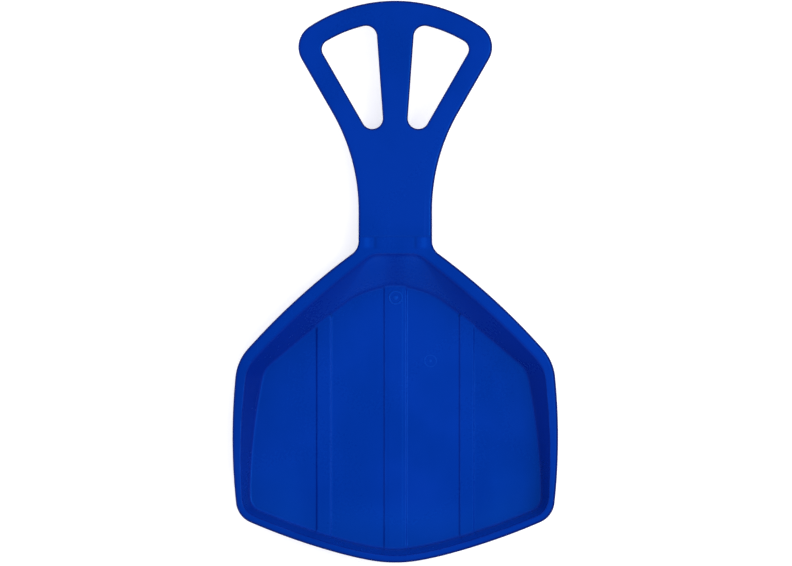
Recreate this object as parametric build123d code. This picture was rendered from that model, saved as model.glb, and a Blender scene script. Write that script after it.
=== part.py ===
from build123d import *
import math
import os

os.makedirs("parts", exist_ok=True)

# Seat glider for snow: one injection moulding of blue polyethylene, written as its named regions.
# Frame: +X to the right, +Y from the seat towards the grip, +Z up (the side one sits on).
# Origin: bottom centre of the whole object. All lengths in millimetres, all angles in degrees.

# ---------------------------------------------------------------- driving dimensions
LENGTH = 561.0            # rear edge of the pan to the top of the grip
RIM_Z = 42.0              # upper face of rim, neck and grip above the ground
SKIN = 2.5                # moulded wall thickness
PAN_LIP = 9.0             # depth of the down-turned edge round the pan, from the upper face
GRIP_LIP = 8.0            # depth of the down-turned edge round neck and grip
HOLE_LIP = 6.0            # depth of the collar round each grip opening
LIP_T = 2.4               # thickness of every down-turned edge

WEB_Y0, WEB_Y1 = 32.0, 46.0   # the thin flexing strip across the neck
WEB_T = 1.6                   # its thickness
WEB_DROP = 0.3                # its upper face lies this far below the upper face of the neck

RIB_X = 71.5              # side ribs, distance of centre line from the middle
RIB_W = 16.0              # side rib width at the foot
RIB_MID_W = 24.0          # middle rib width at the foot
RIB_H = 1.6               # rib height above the floor
RIB_SLOPE = 1.5           # inset of each rib flank

# Outline of the whole moulding, right half, rear middle to grip top: (radius, heading at the end).
# A negative radius turns clockwise (hollow curve).
REAR_ARCS = [(141.0, 10.3), (352.0, 14.9), (664.0, 23.3)]
REAR_CORNER = (24.0, 83.9)
SIDE_ARC = (617.0, 95.6)
FRONT_CORNER = (49.0, 131.7)
DIAGONAL = (680.0, 143.6)
ROOT_FILLET = (-16.0, 90.0)
NECK_STRAIGHT = 30.0
NECK_ARC = (-197.0, 60.1)
GRIP_CORNER_R = 24.5
BOW_R = 155.5

# Grip opening, right side: two straight edges and an arc about the bow's centre
HOLE_OUT = ((32.9, 159.2), (70.2, 224.1))
HOLE_IN = ((12.5, 163.7), (18.2, 242.7))
HOLE_ARC_R = 134.0
HOLE_R_BOTTOM, HOLE_R_IN, HOLE_R_OUT = 10.5, 11.0, 9.5

# Upper edge of the pan's wall (A, at the rim) and foot of the wall (B, at the floor): x, y, heading
EDGE_A = [(0, -273.5, 0), (50.9, -265.4, 14.9), (142.0, -233.6, 23.3), (153.2, -217.0, 86.5), (150.0, -97.0, 96.6),
          (138.3, -74.8, 132.8), (27.8, 24.3, 142.5), (15.65, 28.4, 180), (0, 28.4, 180)]
EDGE_B = [(0, -267.3, 0), (49.3, -259.2, 15.0), (137.3, -228.8, 23.0), (145.9, -214.0, 90.5), (133.2, -97.0, 101.5),
          (125.5, -83.0, 140.3), (66.0, -34.3, 142.5), (30.0, -11.6, 161.0), (0, -5.6, 180)]
FOOT_OUT = [2.1, 2.1, 2.1, 2.0, 1.8, 1.6, 1.3, 1.2, 1.2]   # how far the wall's outer face stands outside B at the ground
TOP_OUT = [2.1, 2.1, 2.1, 2.0, 1.8, 1.6, 1.3, 1.2, 1.2]    # the same at the underside of the rim, outside A


# ---------------------------------------------------------------- plane curves made of lines and tangent arcs
def unit(deg):
    return math.cos(math.radians(deg)), math.sin(math.radians(deg))


def walk(x, y, deg, steps):
    """Tangent chain. Steps are ('L', length) or ('A', radius, end heading), radius < 0 turning clockwise."""
    out = []
    for s in steps:
        tx, ty = unit(deg)
        if s[0] == "L":
            nx, ny = x + tx * s[1], y + ty * s[1]
            out.append(("L", (x, y), (nx, ny)))
            x, y = nx, ny
        else:
            r, end = s[1], s[2]
            cx, cy = x - ty * r, y + tx * r
            half = 0.5 * (deg + end)
            mx, my = unit(half)
            ex, ey = unit(end)
            m = (cx + my * r, cy - mx * r)
            n = (cx + ey * r, cy - ex * r)
            out.append(("A", (x, y), m, n))
            x, y, deg = n[0], n[1], end
    return out, (x, y, deg)


def biarc(p, q):
    """Two tangent arcs from station p to station q, each (x, y, heading)."""
    x0, y0, a0 = p
    x1, y1, a1 = q
    t0, t1 = unit(a0), unit(a1)
    vx, vy = x1 - x0, y1 - y0
    tx, ty = t0[0] + t1[0], t0[1] + t1[1]
    dot = t0[0] * t1[0] + t0[1] * t1[1]
    a = 2.0 * (1.0 - dot)
    b = 2.0 * (vx * tx + vy * ty)
    c = -(vx * vx + vy * vy)
    if a < 1e-9:
        d = -c / b
    else:
        d = (-b + math.sqrt(b * b - 4.0 * a * c)) / (2.0 * a)
    mx = 0.5 * (x0 + d * t0[0] + x1 - d * t1[0])
    my = 0.5 * (y0 + d * t0[1] + y1 - d * t1[1])
    out = []
    for (ax, ay), (ux, uy), (bx, by), rev in (((x0, y0), t0, (mx, my), False), ((x1, y1), (-t1[0], -t1[1]), (mx, my), True)):
        wx, wy = bx - ax, by - ay
        n = wx * -uy + wy * ux
        if abs(n) < 1e-4:
            piece = ("L", (ax, ay), (bx, by))
        else:
            r = (wx * wx + wy * wy) / (2.0 * n)
            cx, cy = ax - uy * r, ay + ux * r
            sx, sy = 0.5 * (ax + bx) - cx, 0.5 * (ay + by) - cy
            k = abs(r) / math.hypot(sx, sy)
            piece = ("A", (ax, ay), (cx + sx * k, cy + sy * k), (bx, by))
        out.append(flip(piece) if rev else piece)
    return out


def flip(s):
    return ("L", s[2], s[1]) if s[0] == "L" else ("A", s[3], s[2], s[1])


def mirror_x(path):
    """The left half of a symmetric outline, running on from the right half."""
    out = []
    for s in reversed(path):
        out.append(flip((s[0],) + tuple((-p[0], p[1]) for p in s[1:])))
    return out


def through(stations):
    path = []
    for p, q in zip(stations[:-1], stations[1:]):
        path += biarc(p, q)
    return path


def shifted(stations, outs):
    """Stations moved to the right of their heading, which is outwards on a loop run anticlockwise."""
    res = []
    for (x, y, a), d in zip(stations, outs):
        tx, ty = unit(a)
        res.append((x + ty * d, y - tx * d, a))
    return res


def wire(path, z=0.0):
    edges = []
    for s in path:
        pts = [(p[0], p[1], z) for p in s[1:]]
        edges.append(Edge.make_line(*pts) if s[0] == "L" else Edge.make_three_point_arc(*pts))
    return Wire(edges)


def slab(path, z0, z1):
    """The closed outline as a solid between two heights."""
    return extrude(Face(wire(path, z0)), amount=z1 - z0, dir=(0, 0, 1))


def prism(points, z0=-20.0, z1=80.0):
    pts = [(x, y) for x, y in points]
    return extrude(Face(Wire.make_polygon([(x, y, z0) for x, y in pts], close=True)), amount=z1 - z0, dir=(0, 0, 1))


# ---------------------------------------------------------------- the outline
def outline_steps(inset):
    """Chain of the right half moved inwards by inset: convex radii shrink, hollow radii grow."""
    def arc(r, a):
        return ("A", r - inset, a)
    return [arc(*REAR_ARCS[0]), arc(*REAR_ARCS[1]), arc(*REAR_ARCS[2]), arc(*REAR_CORNER), arc(*SIDE_ARC), arc(*FRONT_CORNER),
            arc(*DIAGONAL), arc(*ROOT_FILLET), ("L", NECK_STRAIGHT), arc(*NECK_ARC)]


def outline(inset=0.0):
    y_bow = LENGTH / 2 - BOW_R
    path, (x, y, deg) = walk(0.0, -LENGTH / 2 + inset, 0.0, outline_steps(inset))
    # flank line, corner and bow: the corner's centre lies on a circle about the bow's centre
    tx, ty = unit(deg)
    rc, rb = GRIP_CORNER_R - inset, BOW_R - inset
    cx, cy = x - ty * rc, y + tx * rc - y_bow
    b = cx * tx + cy * ty
    c = cx * cx + cy * cy - (rb - rc) ** 2
    run = -b + math.sqrt(b * b - c)
    cx, cy = cx + tx * run, cy + ty * run
    end = math.degrees(math.atan2(cy, cx)) + 90.0
    more, last = walk(x, y, deg, [("L", run), ("A", rc, end), ("A", rb, 180.0)])
    more[-1] = ("A", more[-1][1], more[-1][2], (0.0, LENGTH / 2 - inset))
    half = path + more
    return half + mirror_x(half)


def grip_hole(grow=0.0):
    """Opening on the right, run anticlockwise; grow moves every edge outwards."""
    y_bow = LENGTH / 2 - BOW_R
    (ax, ay), (bx, by) = HOLE_OUT                       # upwards along the outer edge
    (dx, dy), (cx, cy) = HOLE_IN                        # the inner edge, run downwards
    lo, li = math.hypot(bx - ax, by - ay), math.hypot(dx - cx, dy - cy)
    to = ((bx - ax) / lo, (by - ay) / lo)
    ti = ((dx - cx) / li, (dy - cy) / li)
    no, ni = (-to[1], to[0]), (-ti[1], ti[0])           # both point into the opening

    def line_line(r):
        p = (ax + no[0] * r, ay + no[1] * r)
        q = (cx + ni[0] * r, cy + ni[1] * r)
        det = to[0] * -ti[1] + ti[0] * to[1]
        s = ((q[0] - p[0]) * -ti[1] + ti[0] * (q[1] - p[1])) / det
        return p[0] + to[0] * s, p[1] + to[1] * s

    def line_arc(p0, t, n, r):
        px, py = p0[0] + n[0] * r, p0[1] + n[1] * r - y_bow
        b_ = px * t[0] + py * t[1]
        c_ = px * px + py * py - (HOLE_ARC_R - r) ** 2
        s = -b_ + math.copysign(math.sqrt(b_ * b_ - c_), t[1])
        return px + t[0] * s, py + t[1] * s + y_bow

    c1 = line_line(HOLE_R_BOTTOM)
    c2 = line_arc((ax, ay), to, no, HOLE_R_OUT)
    c3 = line_arc((cx, cy), ti if ti[1] > 0 else (-ti[0], -ti[1]), ni, HOLE_R_IN)
    ho = math.degrees(math.atan2(to[1], to[0]))
    hi = math.degrees(math.atan2(ti[1], ti[0])) % 360.0
    h2 = math.degrees(math.atan2(c2[1] - y_bow, c2[0])) + 90.0
    h3 = math.degrees(math.atan2(c3[1] - y_bow, c3[0])) + 90.0
    rb, r2, r3, ra = HOLE_R_BOTTOM + grow, HOLE_R_OUT + grow, HOLE_R_IN + grow, HOLE_ARC_R + grow

    def at(c, r, heading):
        t = unit(heading)
        return c[0] + t[1] * r, c[1] - t[0] * r

    o = (0.0, y_bow)
    p1, p2 = at(c1, rb, ho), at(c2, r2, ho)
    p3, p4 = at(c2, r2, h2), at(c3, r3, h3)
    p5, p6 = at(c3, r3, hi), at(c1, rb, hi)
    return [("L", p1, p2), ("A", p2, at(c2, r2, 0.5 * (ho + h2)), p3), ("A", p3, at(o, ra, 0.5 * (h2 + h3)), p4),
            ("A", p4, at(c3, r3, 0.5 * (h3 + hi)), p5), ("L", p5, p6), ("A", p6, at(c1, rb, 0.5 * (hi + ho + 360.0)), p1)]


def solid_of(shape):
    """A boolean result as one plain solid."""
    solids = shape.solids() if hasattr(shape, "solids") else [shape]
    assert len(solids) == 1, f"{len(solids)} solids where one was meant"
    return solids[0]


NODES = {}


def keep(name, shape):
    s = solid_of(shape)
    s.label = name
    NODES[name] = s


def keep_pair(name, shape):
    """A region on the right, and its mirror image on the left."""
    s = solid_of(shape)
    keep(name + "_right", s)
    keep(name + "_left", mirror(s, about=Plane.YZ))


# ---------------------------------------------------------------- the pan as one shell
PLATE_Z = RIM_Z - SKIN
loop_a = through(EDGE_A)
loop_a += mirror_x(loop_a)
loop_b = through(EDGE_B)
loop_b += mirror_x(loop_b)
outer_a = through(shifted(EDGE_A, TOP_OUT))
outer_a += mirror_x(outer_a)
outer_b = through(shifted(EDGE_B, FOOT_OUT))
outer_b += mirror_x(outer_b)

cavity = Solid.make_loft([wire(loop_b, SKIN), wire(loop_a, RIM_Z)], ruled=True)
shell = Solid.make_loft([wire(outer_b, 0.0), wire(outer_a, PLATE_Z)], ruled=True)

full = outline()
inner = outline(LIP_T)
pan_side = Box(500, 400, 200, align=(Align.CENTER, Align.MAX, Align.CENTER)).moved(Location((0, WEB_Y0, 0)))
grip_side = Box(500, 400, 200, align=(Align.CENTER, Align.MIN, Align.CENTER)).moved(Location((0, WEB_Y1, 0)))

plate = slab(full, PLATE_Z, RIM_Z)
pan_lip = slab(full, RIM_Z - PAN_LIP, PLATE_Z) - slab(inner, RIM_Z - PAN_LIP - 1, PLATE_Z + 1)
pan = ((plate + pan_lip) & pan_side) + shell
pan = pan - cavity

inside_a = slab(loop_a, -20, 80)
inside_b = slab(loop_b, -20, 80)
walls = (pan & inside_a) - inside_b
rims = pan - inside_a
floor = pan & inside_b

# ---------------------------------------------------------------- where the regions meet
MID = (0.0, -120.0)
REAR_CUT = ((144.0, -224.5), (311.0, -334.3))       # through both rear corner radii
FRONT_CUT = ((130.6, -89.0), (317.5, -17.7))        # through both front corner radii
A_BEND, B_BEND = (27.8, 24.3), (66.0, -34.3)        # where the front wall swings round to the neck
NECK_CUT = (76.5, 87.8)                             # square to the rim from A_BEND

rear = prism([MID, (0, -400), (311, -400), REAR_CUT[1], REAR_CUT[0]])
side = prism([MID, REAR_CUT[0], REAR_CUT[1], FRONT_CUT[1], FRONT_CUT[0]])
front_wall = prism([MID, FRONT_CUT[0], FRONT_CUT[1], (317.5, 100), (27.8, 100), A_BEND, B_BEND])
front_rim = prism([MID, FRONT_CUT[0], FRONT_CUT[1], (317.5, 87.8), NECK_CUT, A_BEND])
middle_wall = prism([MID, B_BEND, A_BEND, (27.8, 100), (-27.8, 100), (-27.8, 24.3), (-66.0, -34.3)])
middle_rim = prism([A_BEND, NECK_CUT, (-76.5, 87.8), (-27.8, 24.3)])

keep_pair("rear_wall", walls & rear)
keep_pair("side_wall", walls & side)
keep_pair("front_wall", walls & front_wall)
keep("front_wall_middle", walls & middle_wall)
keep_pair("rear_rim", rims & rear)
keep_pair("side_rim", rims & side)
keep_pair("front_rim", rims & front_rim)
keep("neck_root", rims & middle_rim)

# ---------------------------------------------------------------- floor panels and the raised ribs between them
x0, x1 = RIB_X - RIB_W / 2, RIB_X + RIB_W / 2
xm = RIB_MID_W / 2
keep_pair("floor_inner", floor & prism([(xm, -400), (x0, -400), (x0, 200), (xm, 200)]))
keep_pair("floor_outer", floor & prism([(x1, -400), (400, -400), (400, 200), (x1, 200)]))


def rib(xc, w):
    """A channel folded up out of the floor, closed against the front and rear walls."""
    def bar(points):
        face = Face(Wire.make_polygon([(xc + x, -300, z) for x, z in points], close=True))
        return extrude(face, amount=320, dir=(0, 1, 0))
    h = w / 2
    low = bar([(-h, 0), (h, 0), (h, SKIN), (-h, SKIN)]) & inside_b
    high = bar([(-h, SKIN), (h, SKIN), (h - RIB_SLOPE, SKIN + RIB_H), (-h + RIB_SLOPE, SKIN + RIB_H)]) & cavity
    groove = bar([(-h + SKIN, -1), (h - SKIN, -1), (h - SKIN, 0), (h - SKIN - RIB_SLOPE, RIB_H), (-h + SKIN + RIB_SLOPE, RIB_H),
                  (-h + SKIN, 0)]) & inside_b
    return (low + high) - groove


keep("floor_rib_middle", rib(0.0, RIB_MID_W))
keep_pair("floor_rib", rib(RIB_X, RIB_W))

# ---------------------------------------------------------------- the flexing strip across the neck
web_top = RIM_Z - WEB_DROP
web_band = Box(500, WEB_Y1 - WEB_Y0, 200, align=(Align.CENTER, Align.MIN, Align.CENTER)).moved(Location((0, WEB_Y0, 0)))
keep("flex_web", slab(full, web_top - WEB_T, web_top) & web_band)

# ---------------------------------------------------------------- neck and grip
hole_r = grip_hole()
collar_r = grip_hole(LIP_T)
hole = slab(hole_r, -20, 80)
collar = slab(collar_r, RIM_Z - HOLE_LIP, PLATE_Z)
grip_lip = slab(full, RIM_Z - GRIP_LIP, PLATE_Z) - slab(inner, RIM_Z - GRIP_LIP - 1, PLATE_Z + 1)
grip = (plate + grip_lip) & grip_side
grip = grip + collar + mirror(collar, about=Plane.YZ)
grip = grip - hole - mirror(hole, about=Plane.YZ)

Y_BOW = LENGTH / 2 - BOW_R
Y_NECK_TOP = 149.0                                  # the neck ends just below the openings
BOW_CUT_R = HOLE_ARC_R - 6.0                        # the bow's underside meets the bars here
bow_zone = Cylinder(BOW_CUT_R, 200).moved(Location((0, Y_BOW, 0)))
upper = Box(500, 400, 200, align=(Align.CENTER, Align.MIN, Align.CENTER)).moved(Location((0, Y_NECK_TOP, 0)))
bars = grip & upper & bow_zone
split = HOLE_R_BOTTOM + HOLE_IN[0][0]               # the bars part below the middle of each opening
keep("neck_plate", grip - upper)
keep("grip_bar_middle", bars & prism([(-split, 100), (split, 100), (split, 300), (-split, 300)]))
keep_pair("grip_bar", bars & prism([(split, 100), (300, 100), (300, 300), (split, 300)]))
keep_pair("grip_bow", ((grip & upper) - bow_zone) & prism([(0, 100), (300, 100), (300, 400), (0, 400)]))

# ---------------------------------------------------------------- write
total = 0.0
for name, s in NODES.items():
    assert s.is_valid, name
    total += s.volume
    export_step(s, f"parts/{name}.step")
boxes = [s.bounding_box() for s in NODES.values()]
lo = [min(getattr(b.min, k) for b in boxes) for k in "XYZ"]
hi = [max(getattr(b.max, k) for b in boxes) for k in "XYZ"]
print(len(NODES), "nodes, volume", round(total / 1000.0, 2), "cm3, box", [round(v, 2) for v in lo], [round(v, 2) for v in hi])
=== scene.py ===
import math

import bpy
import numpy as np
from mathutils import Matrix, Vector
from mathutils.geometry import delaunay_2d_cdt


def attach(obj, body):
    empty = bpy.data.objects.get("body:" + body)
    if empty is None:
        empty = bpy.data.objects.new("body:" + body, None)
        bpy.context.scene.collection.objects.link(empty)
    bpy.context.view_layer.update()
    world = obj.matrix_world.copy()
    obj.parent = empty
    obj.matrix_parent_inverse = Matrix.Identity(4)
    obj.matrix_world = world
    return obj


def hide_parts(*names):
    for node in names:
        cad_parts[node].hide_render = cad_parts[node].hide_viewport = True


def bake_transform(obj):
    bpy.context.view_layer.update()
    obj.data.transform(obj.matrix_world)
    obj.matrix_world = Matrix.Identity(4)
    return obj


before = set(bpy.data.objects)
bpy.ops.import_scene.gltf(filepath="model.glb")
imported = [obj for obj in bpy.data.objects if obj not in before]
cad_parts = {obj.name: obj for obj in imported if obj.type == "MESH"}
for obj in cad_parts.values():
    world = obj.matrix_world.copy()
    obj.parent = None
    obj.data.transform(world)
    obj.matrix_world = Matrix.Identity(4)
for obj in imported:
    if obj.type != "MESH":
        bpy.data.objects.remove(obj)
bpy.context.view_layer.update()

# ================================================================= shape data, millimetres, the same numbers as the CAD model
LENGTH = 561.0
RIM_Z = 42.0
FLOOR_Z = 2.5
T = 2.4                        # thickness of plates and edges
PAN_LIP_Z = RIM_Z - 9.0
GRIP_LIP_Z = RIM_Z - 8.0
HOLE_LIP_Z = RIM_Z - 6.0
WEB_Y0, WEB_Y1 = 32.0, 46.0
WEB_TOP, WEB_T = 41.7, 1.6
R_EDGE = 3.0                   # outer rounding of rim, neck and grip
R_HOLE = 2.6                   # rounding round the grip openings
RIB_X, RIB_W, RIB_MID_W, RIB_H = 71.5, 16.0, 24.0, 1.6

REAR_ARCS = [(141.0, 10.3), (352.0, 14.9), (664.0, 23.3)]
REAR_CORNER = (24.0, 83.9)
SIDE_ARC = (617.0, 95.6)
FRONT_CORNER = (49.0, 131.7)
DIAGONAL = (680.0, 143.6)
ROOT_FILLET = (-16.0, 90.0)
NECK_STRAIGHT = 30.0
NECK_ARC = (-197.0, 60.1)
GRIP_CORNER_R = 24.5
BOW_R = 155.5
HOLE_OUT = ((32.9, 159.2), (70.2, 224.1))
HOLE_IN = ((12.5, 163.7), (18.2, 242.7))
HOLE_ARC_R = 134.0
HOLE_R_BOTTOM, HOLE_R_IN, HOLE_R_OUT = 10.5, 11.0, 9.5
EDGE_A = [(0, -273.5, 0), (50.9, -265.4, 14.9), (142.0, -233.6, 23.3), (153.2, -217.0, 86.5), (150.0, -97.0, 96.6),
          (138.3, -74.8, 132.8), (27.8, 24.3, 142.5), (15.65, 28.4, 180), (0, 28.4, 180)]
EDGE_B = [(0, -267.3, 0), (49.3, -259.2, 15.0), (137.3, -228.8, 23.0), (145.9, -214.0, 90.5), (133.2, -97.0, 101.5),
          (125.5, -83.0, 140.3), (66.0, -34.3, 142.5), (30.0, -11.6, 161.0), (0, -5.6, 180)]
Y_BOW = LENGTH / 2 - BOW_R
Y_NECK_TOP = 149.0
BOW_CUT_R = HOLE_ARC_R - 6.0
BAR_SPLIT = 23.0


# ================================================================= plane curves: pieces are (centre, signed radius, heading 0, heading 1) or (point, None, heading, length)
def unit(h):
    return np.array([math.cos(h), math.sin(h)])


def left(t):
    return np.array([-t[1], t[0]])


def right(t):
    return np.array([t[1], -t[0]])


class Path:
    def __init__(self, segs):
        self.segs = segs
        self.len = [s[3] if s[1] is None else abs(s[1] * (s[3] - s[2])) for s in segs]
        self.cum = np.concatenate([[0.0], np.cumsum(self.len)])
        self.total = float(self.cum[-1])

    def at(self, s):
        """Point and unit tangent at arc length s."""
        s = min(max(s, 0.0), self.total)
        i = min(int(np.searchsorted(self.cum, s, side="right")) - 1, len(self.segs) - 1)
        p, r, h0, h1 = self.segs[i]
        u = s - self.cum[i]
        if r is None:
            t = unit(h0)
            return np.array(p) + t * u, t
        h = h0 + (h1 - h0) * (u / self.len[i] if self.len[i] > 0 else 0.0)
        t = unit(h)
        return np.array(p) + right(t) * r, t

    def frac(self, f):
        return self.at(f * self.total)


def walk(x, y, deg, steps):
    segs, p, h = [], np.array([x, y], float), math.radians(deg)
    for s in steps:
        if s[0] == "L":
            segs.append((tuple(p), None, h, s[1]))
            p = p + unit(h) * s[1]
        else:
            h1 = math.radians(s[2])
            c = p + left(unit(h)) * s[1]
            segs.append((tuple(c), s[1], h, h1))
            p, h = c + right(unit(h1)) * s[1], h1
    return segs, p, h


def arc_to(p, h, q):
    w = np.array(q) - np.array(p)
    n = float(w @ left(unit(h)))
    if abs(n) < 1e-6:
        return (tuple(p), None, h, float(np.hypot(*w)))
    r = float(w @ w) / (2 * n)
    turn = 2 * (math.atan2(w[1], w[0]) - h)
    turn = (turn + 2 * math.pi) % (4 * math.pi) - 2 * math.pi
    c = np.array(p) + left(unit(h)) * r
    return (tuple(c), r, h, h + turn)


def biarc(a, b):
    p, q = np.array(a[:2], float), np.array(b[:2], float)
    h0, h1 = math.radians(a[2]), math.radians(b[2])
    t0, t1, v = unit(h0), unit(h1), q - p
    k = 2 * (1 - float(t0 @ t1))
    e = 2 * float(v @ (t0 + t1))
    c = -float(v @ v)
    d = -c / e if k < 1e-9 else (-e + math.sqrt(e * e - 4 * k * c)) / (2 * k)
    m = 0.5 * (p + d * t0 + q - d * t1)
    s0 = arc_to(p, h0, m)
    hm = s0[2] if s0[1] is None else s0[3]
    return [s0, arc_to(m, hm, q)]


STEPS = [("A",) + REAR_ARCS[0], ("A",) + REAR_ARCS[1], ("A",) + REAR_ARCS[2], ("A",) + REAR_CORNER, ("A",) + SIDE_ARC,
         ("A",) + FRONT_CORNER, ("A",) + DIAGONAL, ("A",) + ROOT_FILLET, ("L", NECK_STRAIGHT), ("A",) + NECK_ARC]
segs, p_end, h_end = walk(0.0, -LENGTH / 2, 0.0, STEPS)
c0 = p_end + left(unit(h_end)) * GRIP_CORNER_R - np.array([0, Y_BOW])
bb = float(c0 @ unit(h_end))
run = -bb + math.sqrt(bb * bb - float(c0 @ c0) + (BOW_R - GRIP_CORNER_R) ** 2)
c1 = c0 + unit(h_end) * run
top_h = math.degrees(math.atan2(c1[1], c1[0])) + 90.0
more, _, _ = walk(p_end[0], p_end[1], math.degrees(h_end), [("L", run), ("A", GRIP_CORNER_R, top_h), ("A", BOW_R, 180.0)])
OUT = segs + more
outer = Path(OUT)


def s_at_y(path, y, lo, hi):
    for _ in range(60):
        mid = 0.5 * (lo + hi)
        if path.at(mid)[0][1] < y:
            lo = mid
        else:
            hi = mid
    return 0.5 * (lo + hi)


S_WEB0 = s_at_y(outer, WEB_Y0, outer.cum[7], outer.cum[8])
S_WEB1 = s_at_y(outer, WEB_Y1, outer.cum[8], outer.cum[9])
# intervals of the outline that go with the intervals of the two inner edges
O_SPAN = [(0.0, outer.cum[2]), (outer.cum[2], outer.cum[3]), (outer.cum[3], outer.cum[4]), (outer.cum[4], outer.cum[5]),
          (outer.cum[5], outer.cum[6]), (outer.cum[6], S_WEB0)]
A_PATH = [Path(biarc(a, b)) for a, b in zip(EDGE_A[:-1], EDGE_A[1:])]
B_PATH = [Path(biarc(a, b)) for a, b in zip(EDGE_B[:-1], EDGE_B[1:])]


def smooth(x):
    x = np.clip(x, 0.0, 1.0)
    return x * x * (3 - 2 * x)


def rib_top(x):
    """Height of the ribs over the floor at x."""
    x = np.abs(x)
    mid = (RIB_H - 0.16) * smooth((RIB_MID_W / 2 + 0.4 - x) / 2.4) + 0.16 * smooth((8.1 - x) / 1.6)
    side = RIB_H * smooth((RIB_W / 2 + 0.4 - np.abs(x - RIB_X)) / 2.4)
    return mid + side


def rib_flank(x):
    """1 halfway up a rib's flank, 0 on the flats."""
    x = np.abs(x)
    a = smooth((RIB_MID_W / 2 + 0.4 - x) / 2.4)
    b = smooth((RIB_W / 2 + 0.4 - np.abs(x - RIB_X)) / 2.4)
    return 4.0 * (a * (1.0 - a) + b * (1.0 - b))


def rib_flank_right(x):
    """The same, only on the flanks that face +X."""
    centre = np.where(np.abs(x) < 40.0, 0.0, RIB_X * np.sign(x))
    return rib_flank(x) * (x > centre)


def rib_under(x):
    x = np.abs(x)
    return RIB_H * (smooth((RIB_MID_W / 2 - 1.1 - x) / 3.0) + smooth((RIB_W / 2 - 1.1 - np.abs(x - RIB_X)) / 3.0))


# ================================================================= one station of the ring round the pan
ARC1 = np.radians(np.linspace(0, 90, 8))
ARC_TIP = np.radians([90, 60, 30, 0])
N_FACE, N_FLANGE, N_P2, N_WALL, N_P3 = 3, 5, 9, 9, 10


def lip_rows(o, n, z_lip, r=R_EDGE, t=T):
    """Rows of (upper or outer, lower or inner) points from the tip of a turned-down edge to the flat.
    n points from the material to the outside of the edge."""
    top, bot = [], []

    def add(i0, z0, i1, z1):
        top.append((o[0] - n[0] * i0, o[1] - n[1] * i0, z0))
        bot.append((o[0] - n[0] * i1, o[1] - n[1] * i1, z1))
    h = t / 2
    for a in ARC_TIP:
        add(h * (1 - math.cos(a)), z_lip + h * (1 - math.sin(a)), t - h * (1 - math.cos(a)), z_lip + h * (1 - math.sin(a)))
    z0, z1 = z_lip + h, RIM_Z - r
    for k in range(1, N_FACE):
        z = z0 + (z1 - z0) * k / N_FACE
        add(0, z, t, z)
    for a in ARC1:
        add(r * (1 - math.cos(a)), z1 + r * math.sin(a), r - (r - t) * math.cos(a), z1 + (r - t) * math.sin(a))
    return top, bot


N_LIP = len(ARC_TIP) + N_FACE - 1 + len(ARC1)


def lip_tone(top):
    """Painted shade: turned-down edges are coloured deeper than the flat they hang from."""
    return [TONE_RIM - (1 + TONE_RIM) * float(smooth((RIM_Z - 0.02 - v[2]) / 0.8)) if i < N_LIP else TONE_RIM for i, v in enumerate(top)]


TONE_RIM, TONE_FLOOR = -0.23, 0.12                 # painted shade: the top a shade deeper; painted light: the floor a shade paler


def floor_tone(v):
    """Painted light: paler along the rear and at its corners."""
    x, y = v[0], v[1]
    return TONE_FLOOR + 0.42 * float(smooth((-205.0 - y) / 45.0)) + 0.30 * float(smooth((abs(x) - 80.0) / 30.0)) * float(smooth((-160.0 - y) / 50.0))


def pan_tone(top, p):
    """Painted light and shade for a whole station: rim, wall, floor."""
    base = lip_tone(top)
    # painted light and shade: brightness of the wall along the ring (wall), a deeper rim (d), and a deeper outer edge
    # at the rear (rear)
    wall = float(np.interp(p, [0, 2.0, 2.6, 3.9, 4.6, 5.6, 6.4, 7.2, 8], [0.85, 0.66, -0.12, -0.12, 0.14, 0.32, 0.90, 0.95, 0.62]))
    d = float(np.interp(p, [0, 2.3, 2.6, 4.3, 5.0], [-0.07, -0.07, -0.10, -0.10, 0.0]))
    rear = float(smooth((2.4 - p) / 0.4))
    for i in range(len(base)):
        if i < ROW_G:
            base[i] += d - 0.08 * rear * max(0.0, 1.0 - max(0, i - N_LIP + 2) / 3.0)
            continue
        z = top[i][2]
        down = float(smooth((RIM_Z - 0.3 - z) / 3.0))
        near = float(smooth((9.0 - z) / 6.0))
        rim = TONE_RIM + d
        base[i] = rim + (wall - rim) * down + (floor_tone(top[i]) - wall) * near
    return base


def wall_tone(top, first):
    """Painted light and shade: a slightly deeper strip up the middle of the front wall, paler beside it."""
    out = []
    for v in top[first:]:
        ax = abs(v[0])
        on = float(smooth((v[1] + 14.0) / 22.0)) * float(smooth((RIM_Z + 0.5 - v[2]) / 4.0))
        out.append(on * (-0.08 * float(smooth((11.0 - ax) / 2.5)) + 0.16 * math.exp(-((ax - 18.0) / 6.0) ** 2)))
    return out


def slerp(a, b, f):
    w = math.acos(max(-1.0, min(1.0, float(a @ b))))
    if w < 1e-6:
        return a
    return (a * math.sin((1 - f) * w) + b * math.sin(f * w)) / math.sin(w)


UP = np.array([0.0, 0.0, 1.0])


def r_rim(p):
    """Rounding where the rim turns down into the wall: tight on the sides, soft along the front."""
    return float(np.interp(p, [0, 2.5, 3, 4, 4.4, 4.8, 6, 6.6, 7.2, 8], [1.5, 1.5, 1.2, 1.2, 2.2, 3.6, 4.0, 3.4, 2.6, 2.2]))


def r_foot(p):
    """Hollow at the foot of the wall."""
    return float(np.interp(p, [0, 1.5, 2.2, 3, 4, 4.6, 6, 6.8, 7.4, 8], [3.6, 3.6, 2.8, 2.6, 2.6, 3.0, 3.4, 4.2, 5.4, 5.4]))


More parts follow.
